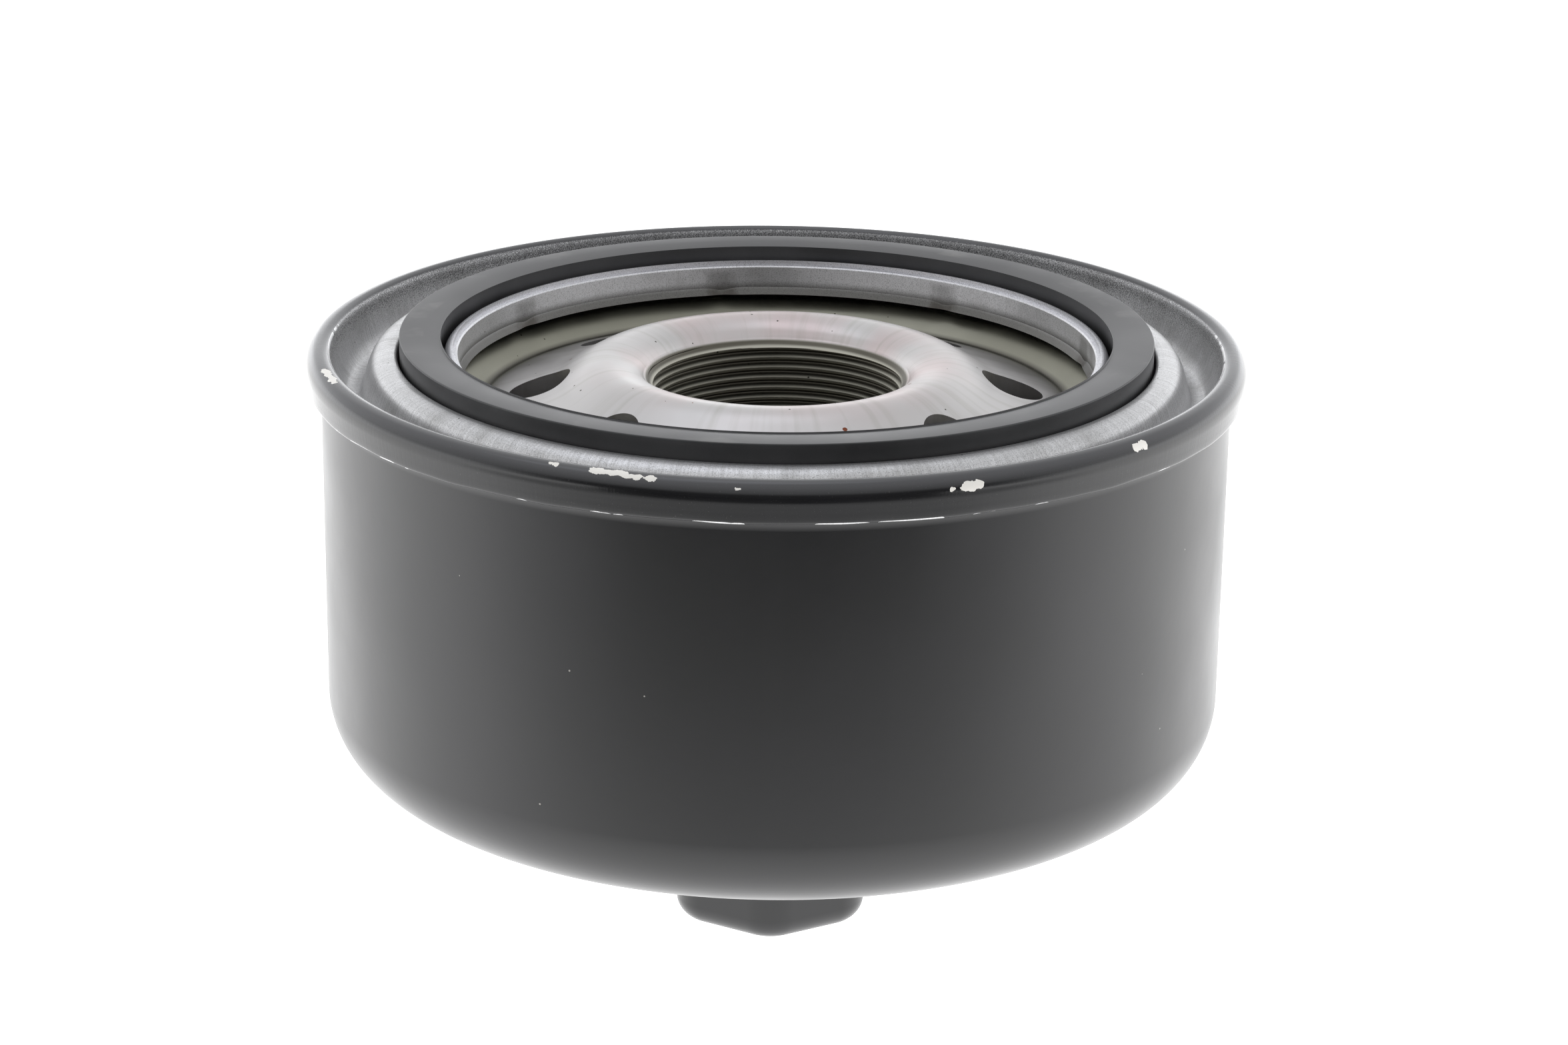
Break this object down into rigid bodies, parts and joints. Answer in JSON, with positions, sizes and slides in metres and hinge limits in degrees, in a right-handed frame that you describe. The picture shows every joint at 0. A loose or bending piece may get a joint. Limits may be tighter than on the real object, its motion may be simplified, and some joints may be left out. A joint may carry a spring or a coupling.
{
  "type": "spin-on oil filter",
  "caption": "Squat black spin-on oil filter with a rolled seam, square-cut gasket, threaded tapping plate with inlet holes, and a hexagon on its end.",
  "frame": {"origin": "centre of the hexagon's end face, which the filter stands on", "axes": "+Z along the filter's axis towards the gasket and threaded neck; +X through the middle of one spanner flat"},
  "size_m": [0.13, 0.13, 0.0865],
  "materials": {
    "black_paint": "satin black paint over deep-drawn steel",
    "lid_steel": "bright tin-plated sheet, fine radial grain",
    "plate_steel": "oiled bare steel, slightly warm grey",
    "zinc_steel": "dull zinc plate",
    "spring_steel": "dark oiled spring steel",
    "rubber": "matt nitrile rubber",
    "filter_paper": "resin-treated pleated paper",
    "potting": "cured plastisol",
    "sealant": "dried seam compound",
    "nylon": "moulded glass-filled nylon"
  },
  "bodies": {
    "casing": {"can": "black_paint", "seaming_lid": "lid_steel", "seam_sealant": "sealant", "tapping_plate": "plate_steel", "sealing_gasket": "rubber", "support_spring": "spring_steel", "weld_1": "plate_steel", "weld_2": "plate_steel", "weld_3": "plate_steel", "weld_4": "plate_steel", "weld_5": "plate_steel", "weld_6": "plate_steel", "weld_7": "plate_steel", "weld_8": "plate_steel"},
    "element": {"element_top_cap": "zinc_steel", "top_potting": "potting", "pleated_media": "filter_paper", "centre_tube": "zinc_steel", "bottom_potting": "potting", "element_bottom_cap": "zinc_steel", "bypass_seat": "zinc_steel", "bypass_cage": "zinc_steel", "bypass_spring": "spring_steel"},
    "bypass_valve": {"bypass_poppet": "nylon", "bypass_seal": "rubber"},
    "drain_valve": {"anti_drain_valve": "rubber"}
  },
  "joints": [
    {"name": "element_float", "type": "slide", "parent": "casing", "child": "element", "axis": [0, 0, 1], "range_m": [-0.0015, 0], "stiffness_N_per_m": 8000, "springref_m": 0.003, "deforming": ["support_spring"]},
    {"name": "bypass_lift", "type": "slide", "parent": "element", "child": "bypass_valve", "axis": [0, 0, 1], "range_m": [0, 0.004], "stiffness_N_per_m": 3000, "springref_m": -0.004, "deforming": ["bypass_spring"]},
    {"name": "drain_valve_lift", "type": "slide", "parent": "casing", "child": "drain_valve", "axis": [0, 0, 1], "range_m": [-0.0012, 0], "stiffness_N_per_m": 500, "springref_m": 0.001}
  ]
}
